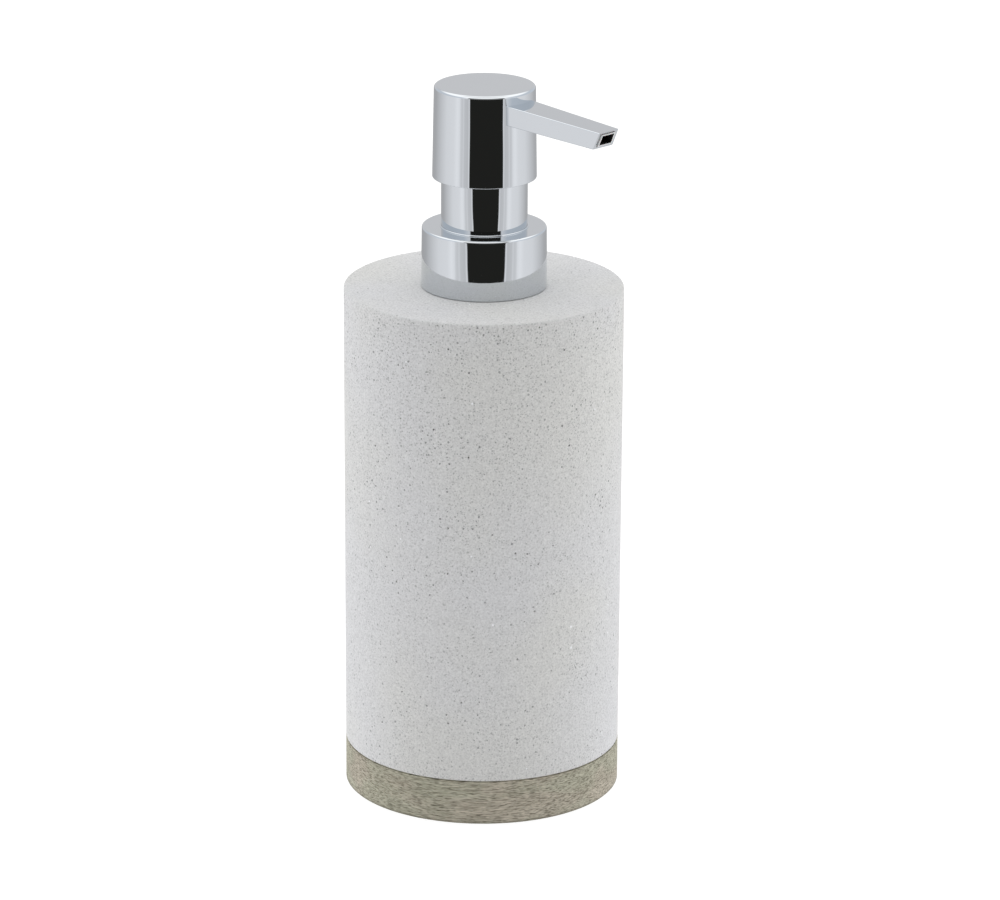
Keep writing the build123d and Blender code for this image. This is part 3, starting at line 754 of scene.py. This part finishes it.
class DISPENSER_OT_wooden_base(Operator):
    """Turn the washed wooden base"""

    bl_idname = "dispenser.wooden_base"
    bl_label = "Wooden Base"

    def execute(self, context):
        size = context.scene.dispenser.wooden_base
        bottom, spigot_top = low_z("wooden_base"), high_z("wooden_base")
        top = low_z("body_shell")
        spigot = outer_radius("bottom_plug")
        recess = outer_radius("foot_pad") + SEAT_GAP
        recess_top = high_z("foot_pad")
        bm = turned(
            [
                (0, recess_top),
                (recess, recess_top),
                (recess, bottom),
                (size.radius - size.foot, bottom),
                (size.radius, bottom + size.foot),
                (size.radius, top - size.seam),
                (size.radius - size.seam_depth, top - size.seam),
                (size.radius - size.seam_depth, top),
                (spigot, top),
                (spigot, spigot_top),
                (0, spigot_top),
            ],
            {5: size.seam_edge},
            closed=False,
        )
        add_piece("turned_base", bm, [washed_wood(size)], "bottle", "wooden_base")
        return {"FINISHED"}


class DISPENSER_OT_foot_pad(Operator):
    """Cut the soft pad under the base"""

    bl_idname = "dispenser.foot_pad"
    bl_label = "Foot Pad"

    def execute(self, context):
        size = context.scene.dispenser.foot_pad
        bottom, top = low_z("foot_pad"), high_z("foot_pad")
        bm = turned(
            [(0, bottom), (size.radius, bottom), (size.radius, top), (0, top)],
            {1: size.edge},
            closed=False,
        )
        material = rubber("Pad rubber", size.tint)
        add_piece("soft_pad", bm, [material], "bottle", "foot_pad")
        return {"FINISHED"}


class DISPENSER_OT_collar(Operator):
    """Turn the chromed collar"""

    bl_idname = "dispenser.collar"
    bl_label = "Collar"

    def execute(self, context):
        settings = context.scene.dispenser
        size = settings.collar
        bottom, top = high_z("body_shell") + size.gap, high_z("collar_cover")
        top_radius = size.radius - size.draft
        bore = top_radius - size.wall
        bm = turned(
            [
                (bore, bottom),
                (size.radius, bottom),
                (top_radius, top),
                (size.hole + size.lip, top),
                (size.hole + size.lip, top + size.lip),
                (size.hole, top + size.lip),
                (size.hole, top - size.wall),
                (bore, top - size.wall),
            ],
            {1: size.foot, 2: size.edge, 4: size.lip_edge},
        )
        material = chrome_plate(settings.chrome)
        add_piece("chrome_collar", bm, [material], "collar", "collar_cover")
        return {"FINISHED"}


class DISPENSER_OT_neck_sleeve(Operator):
    """Turn the chromed sleeve that the head slides over"""

    bl_idname = "dispenser.neck_sleeve"
    bl_label = "Neck Sleeve"

    def execute(self, context):
        settings = context.scene.dispenser
        size = settings.neck_sleeve
        bottom, top = low_z("neck_sleeve"), high_z("neck_sleeve")
        bore = size.radius - size.wall
        flange = outer_radius("neck_sleeve")
        pocket = bore + size.pocket
        pocket_top = bottom + size.pocket_height
        bead = size.radius + size.bead
        bead_top = low_z("collar_cover") + size.bead_rise
        bead_bottom = bead_top - size.bead_height
        bm = turned(
            [
                (pocket, bottom),
                (flange, bottom),
                (flange, bottom + size.flange),
                (size.radius, bottom + size.flange),
                (size.radius, bead_bottom),
                (bead, bead_bottom),
                (bead, bead_top),
                (size.radius, bead_top),
                (size.radius, top),
                (bore, top),
                (bore, pocket_top),
                (pocket, pocket_top),
            ],
            {8: size.edge},
        )
        material = chrome_plate(settings.chrome)
        add_piece("chrome_sleeve", bm, [material], "pump", "neck_sleeve")
        return {"FINISHED"}


class DISPENSER_OT_head_cap(Operator):
    """Turn the chromed head and cut the spout's window in its wall"""

    bl_idname = "dispenser.head_cap"
    bl_label = "Head Cap"

    def execute(self, context):
        settings = context.scene.dispenser
        size = settings.head
        bottom, top = low_z("head_cap"), high_z("head_cap")
        under_roof = top - size.roof
        bm = turned(
            [
                (0, under_roof),
                (size.bore, under_roof),
                (size.bore, bottom),
                (size.radius, bottom),
                (size.radius - size.draft, top),
                (0, top),
            ],
            {3: size.foot, 4: size.edge},
            closed=False,
        )
        self.cut_window(bm, SpoutForm(settings.spout, size))
        material = chrome_plate(settings.chrome)
        add_piece("chrome_head", bm, [material], "head", "head_cap")
        return {"FINISHED"}

    def cut_window(self, bm, form):
        """Opens the wall where the spout passes through it."""
        bond = form.settings.bond
        near = form.section(form.start_x, bond, bond)
        far = form.section(form.tip_x, bond, bond)
        corners = [(-0.5, -0.5), (0.5, -0.5), (0.5, 0.5), (-0.5, 0.5)]
        planes = []
        for (u, v), (s, t) in zip(corners, corners[1:] + corners[:1]):
            here = near @ Vector((u, v, 0))
            normal = (far @ Vector((u, v, 0)) - here).cross(near @ Vector((s, t, 0)) - here)
            planes.append((here, normal.normalized()))
        floor, right, ceiling, left = planes
        half_width = form.settings.root_width / 2 + WINDOW_MARGIN

        def wall(*bounds):
            """The front faces whose middle lies on the same side of the bounds."""
            found = []
            for face in bm.faces:
                middle = face.calc_center_median()
                sides = {(middle - point).dot(normal) > 0 for point, normal in bounds}
                if middle.x > form.start_x and abs(middle.y) < half_width and len(sides) < 2:
                    found.append(face)
            return found

        for plane, bounds in (
            (floor, ()), (ceiling, ()), (left, (floor, ceiling)), (right, (floor, ceiling))
        ):
            ring = {item for face in wall(*bounds) for item in (face, *face.edges, *face.verts)}
            bmesh.ops.bisect_plane(bm, geom=list(ring), plane_co=plane[0], plane_no=plane[1])
        bmesh.ops.delete(bm, geom=wall(*planes), context="FACES")
        bmesh.ops.bridge_loops(bm, edges=[edge for edge in bm.edges if edge.is_boundary])
        bmesh.ops.recalc_face_normals(bm, faces=bm.faces)


class DISPENSER_OT_spout(Operator):
    """Shape the chromed spout and the liner in its end"""

    bl_idname = "dispenser.spout"
    bl_label = "Spout"

    def execute(self, context):
        settings = context.scene.dispenser
        size = settings.spout
        form = SpoutForm(size, settings.head)
        bm = form.bar()
        outside = bm.edges[:]
        bore = hollow_bar(bm, size.side_wall, size.top_wall)
        long_edges = [edge for edge in outside if edge.is_valid and edge.calc_length() > LONG_EDGE]
        bmesh.ops.bevel(
            bm,
            geom=long_edges,
            offset=size.edge,
            offset_type="OFFSET",
            segments=EDGE_STEPS,
            profile=0.5,
            affect="EDGES",
            clamp_overlap=False,
            material=-1,
        )
        bmesh.ops.recalc_face_normals(bm, faces=bm.faces)
        material = chrome_plate(settings.chrome)
        add_piece("chrome_spout", bm, [material], "head", "spout_shell")

        bm = form.bar(size.side_wall - size.bond, size.top_wall - size.bond, size.liner_proud)
        for face in hollow_bar(bm, size.liner_wall, size.liner_wall):
            face.material_index = 1
        bmesh.ops.recalc_face_normals(bm, faces=bm.faces)
        # The bore's faces take a near-black finish: painted shade inside the hole.
        materials = [
            moulded_plastic("Liner plastic", size.liner_tint, 0.35, 0.4 * MM),
            rubber("Liner bore", size.bore_shade_tint),
        ]
        add_piece("spout_liner", bm, materials, "head", "nozzle_liner")
        return {"FINISHED"}


class DISPENSER_OT_return_spring(Operator):
    """Wind the return spring"""

    bl_idname = "dispenser.return_spring"
    bl_label = "Return Spring"

    def execute(self, context):
        size = context.scene.dispenser.spring
        bottom, top = low_z("return_spring"), high_z("return_spring")
        coil = outer_radius("return_spring") - size.wire / 2
        steps = SPRING_STEPS * size.turns
        rise = (top - bottom - size.wire) / steps
        start = Matrix.Translation((coil, 0, bottom + size.wire / 2)) @ Matrix.Rotation(
            pi / 2, 4, "X"
        )
        bm = bmesh.new()
        bmesh.ops.create_circle(
            bm, cap_ends=True, segments=WIRE_SIDES, radius=size.wire / 2, matrix=start
        )
        bmesh.ops.spin(
            bm,
            geom=bm.verts[:] + bm.edges[:] + bm.faces[:],
            axis=(0, 0, 1),
            cent=(0, 0, 0),
            dvec=(0, 0, rise),
            steps=steps,
            angle=2 * pi * size.turns,
        )
        bmesh.ops.recalc_face_normals(bm, faces=bm.faces)
        material = drawn_steel("Spring steel", size.tint, 0.3)
        spring = add_piece(
            "wound_spring", bm, [material], "pump", "return_spring"
        )
        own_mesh(spring)
        return {"FINISHED"}


class DISPENSER_OT_inner_parts(Operator):
    """Finish the plastic, steel and rubber pieces inside the pump"""

    bl_idname = "dispenser.inner_parts"
    bl_label = "Inner Parts"

    def execute(self, context):
        tints = context.scene.dispenser.inner_parts
        white = moulded_plastic("White plastic", tints.white, 0.38, 0.6 * MM)
        natural = moulded_plastic("Natural plastic", tints.natural, 0.42, 0.6 * MM)
        tube = moulded_plastic("Tube plastic", tints.tube, 0.3, 0.9 * MM)
        seal = rubber("Seal rubber", tints.seal)
        ball = drawn_steel("Ball steel", tints.ball, 0.12)
        finishes = {
            "bottom_plug": bpy.data.materials["Cast stone"],
            "neck_insert": white,
            "threaded_closure": white,
            "stem_guide": white,
            "head_core": white,
            "pump_barrel": natural,
            "pump_stem": natural,
            "stem_tip": natural,
            "ball_cage": natural,
            "dip_tube": tube,
            "neck_gasket": seal,
            "piston": seal,
            "inlet_ball": ball,
            "outlet_ball": ball,
        }
        for node, material in finishes.items():
            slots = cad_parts[node].data.materials
            slots.clear()
            slots.append(material)
        return {"FINISHED"}


class DISPENSER_OT_stage(Operator):
    """Set up the floor, the light, the dark flag and the camera"""

    bl_idname = "dispenser.stage"
    bl_label = "Stage"

    def execute(self, context):
        settings = context.scene.dispenser.stage
        self.light_sky(context.scene, settings)
        self.lay_floor(settings)
        self.stand_flag(settings)
        self.place_camera(context.scene, settings)
        context.scene.view_settings.view_transform = "Standard"
        return {"FINISHED"}

    def mirrored(self, nodes, direction, levels, front, lean=0.0):
        """The light that reflections meet, by its bearing from the camera's."""
        facing = nodes.add(
            "ShaderNodeVectorRotate",
            {"rotation_type": "Z_AXIS", "invert": True},
            {"Vector": direction, "Angle": front},
        )
        level = nodes.add(
            "ShaderNodeVectorMath", {"operation": "MULTIPLY"}, {0: facing, 1: (1, 1, 0)}
        )
        bearing = nodes.add("ShaderNodeVectorMath", {"operation": "NORMALIZE"}, {0: level})
        away = nodes.add("ShaderNodeSeparateXYZ", None, {"Vector": bearing}, "Y")
        stops = [
            ((1 - cos(radians(turn))) / 2, tuple(strength * part for part in light))
            for turn, strength, light in levels
        ]
        return nodes.add("ShaderNodeValToRGB", {"stops": stops}, {"Fac": 0.5 + 0.5 * away - lean})

    def light_sky(self, scene, settings):
        """A soft sky, brighter overhead; the camera sees plain white."""
        world = bpy.data.worlds.new("Studio")
        world.use_nodes = True
        scene.world = world
        nodes = Nodes(world.node_tree)
        direction = nodes.add("ShaderNodeTexCoord", output="Generated")
        height = nodes.add("ShaderNodeSeparateXYZ", None, {"Vector": direction}, "Z")
        plain = settings.sky + (settings.zenith - settings.sky) * nodes.step(height, *SKY_RISE)
        front = settings.azimuth + settings.front_turn
        walls = self.mirrored(nodes, direction, WALLS_MIRRORED, front)
        rays = nodes.add("ShaderNodeLightPath", output="Is Glossy Ray")
        once = rays.other("Glossy Depth") < 1.5
        walls = nodes.mix(once, walls, (settings.front,) * 3, "LIGHTEN")
        lamp = nodes.mix(
            nodes.step(height, *LAMP_FADE), (settings.overhead,) * 3, (settings.zenith,) * 3
        )
        shine = nodes.mix(nodes.step(height, *LAMP_EDGE), walls, lamp)
        light = nodes.mix(rays, plain, shine)
        light = nodes.mix(rays.other("Is Camera Ray"), light, (settings.floor,) * 3)
        background = world.node_tree.nodes["Background"]
        world.node_tree.links.new(light.socket, background.inputs["Color"])

    def glow(self, name, brightness, matt=0.0):
        """A plain bright surface, part of it matt so that it takes a faint shadow."""
        return Finish(name, {
            "Base Color": (matt, matt, matt, 1),
            "Roughness": 1.0,
            "Specular IOR Level": 0.0,
            "Emission Color": (1, 1, 1, 1),
            "Emission Strength": brightness,
        })

    def stand(self, name, bm, material):
        """A stage object from its mesh."""
        mesh = bpy.data.meshes.new(name)
        bm.to_mesh(mesh)
        bm.free()
        mesh.materials.append(material)
        item = bpy.data.objects.new(name, mesh)
        bpy.context.scene.collection.objects.link(item)
        return item

    def lay_floor(self, settings):
        """The white floor, which reflections meet as the studio's dark front and bright sides."""
        finish = self.glow("White floor", settings.floor - settings.floor_matt, settings.floor_matt)
        away = finish.add(
            "ShaderNodeVectorMath", {"operation": "LENGTH"}, {0: finish.place}, "Value"
        )
        flared = away.math("MINIMUM", away, settings.flare_end)
        lean = settings.flare * (flared - settings.flare_start)
        front = settings.azimuth + settings.front_turn
        levels = self.mirrored(finish, finish.place, FLOOR_MIRRORED, front, lean)
        shaded = self.mirrored(finish, finish.place, FLOOR_SHADED, settings.azimuth)
        rays = finish.add("ShaderNodeLightPath", output="Is Diffuse Ray")
        near = rays * finish.step(away, settings.shade_end, settings.shade_start)
        finish.feed("Emission Color", finish.mix(near, (1, 1, 1), shaded))
        shine = finish.add("ShaderNodeEmission", None, {"Color": levels})
        plain = Wire(finish, finish.shader.outputs[0])
        both = finish.add(
            "ShaderNodeMixShader", None, {0: rays.other("Is Glossy Ray"), 1: plain, 2: shine}
        )
        surface = finish.tree.nodes["Material Output"].inputs["Surface"]
        finish.tree.links.new(both.socket, surface)
        bm = bmesh.new()
        bmesh.ops.create_grid(
            bm,
            x_segments=1,
            y_segments=1,
            size=settings.floor_reach,
            matrix=Matrix.Translation((0, 0, -settings.floor_drop)),
        )
        self.stand("floor", bm, finish.material)

    def stand_flag(self, settings):
        """A dark flag in front that takes soft light off the middle of the bottle."""
        reach = settings.flag_distance
        outline = [(reach * tan(radians(turn)), z) for turn, z in FLAG_SIDE]
        outline += [(-x, z) for x, z in reversed(outline)]
        bm = bmesh.new()
        bm.faces.new([bm.verts.new((x, -reach, z)) for x, z in outline])
        turn = Matrix.Rotation(settings.azimuth, 4, "Z")
        bmesh.ops.transform(bm, matrix=turn, verts=bm.verts)
        flag = self.stand("dark_flag", bm, self.glow("Dark flag", 0.02).material)
        flag.visible_camera = False
        flag.visible_glossy = False

    def place_camera(self, scene, settings):
        """The camera of the photograph."""
        bearing, height = settings.azimuth, settings.elevation
        back = Vector((sin(bearing) * cos(height), -cos(bearing) * cos(height), sin(height)))
        right = Vector((cos(bearing), sin(bearing), 0))
        up = back.cross(right)
        leaned_right = cos(settings.roll) * right + sin(settings.roll) * up
        leaned_up = cos(settings.roll) * up - sin(settings.roll) * right
        data = bpy.data.cameras.new("camera")
        data.sensor_width = SENSOR_WIDTH
        data.lens = settings.lens
        camera = bpy.data.objects.new("camera", data)
        scene.collection.objects.link(camera)
        turn = Matrix((leaned_right, leaned_up, back)).transposed().to_4x4()
        place = Vector(settings.target) + settings.distance * back
        camera.matrix_world = Matrix.Translation(place) @ turn
        scene.camera = camera


# Panel and registration

STEPS = (
    ("stone_body", DISPENSER_OT_stone_body),
    ("wooden_base", DISPENSER_OT_wooden_base),
    ("foot_pad", DISPENSER_OT_foot_pad),
    ("collar", DISPENSER_OT_collar),
    ("neck_sleeve", DISPENSER_OT_neck_sleeve),
    ("head", DISPENSER_OT_head_cap),
    ("spout", DISPENSER_OT_spout),
    ("spring", DISPENSER_OT_return_spring),
    ("inner_parts", DISPENSER_OT_inner_parts),
    ("stage", DISPENSER_OT_stage),
)


class DISPENSER_PT_sidebar(Panel):
    """The dispenser's pieces and their settings"""

    bl_idname = "DISPENSER_PT_sidebar"
    bl_label = "Soap Dispenser"
    bl_space_type = "VIEW_3D"
    bl_region_type = "UI"
    bl_category = "Dispenser"

    def draw(self, context):
        settings = context.scene.dispenser
        for group, operator in (("chrome", None), *STEPS):
            box = self.layout.box()
            if operator:
                box.operator(operator.bl_idname)
            values = getattr(settings, group)
            for key in type(values).__annotations__:
                box.prop(values, key)


CLASSES = (
    StoneBodySettings,
    WoodenBaseSettings,
    FootPadSettings,
    ChromeSettings,
    CollarSettings,
    NeckSleeveSettings,
    HeadSettings,
    SpoutSettings,
    SpringSettings,
    InnerPartsSettings,
    StageSettings,
    DispenserSettings,
    *(operator for _, operator in STEPS),
    DISPENSER_PT_sidebar,
)


def register():
    for item in CLASSES:
        bpy.utils.register_class(item)
    bpy.types.Scene.dispenser = PointerProperty(type=DispenserSettings)


def unregister():
    del bpy.types.Scene.dispenser
    for item in reversed(CLASSES):
        bpy.utils.unregister_class(item)


def main():
    register()
    for _, operator in STEPS:
        category, name = operator.bl_idname.split(".")
        getattr(getattr(bpy.ops, category), name)()


if __name__ == "__main__":
    main()
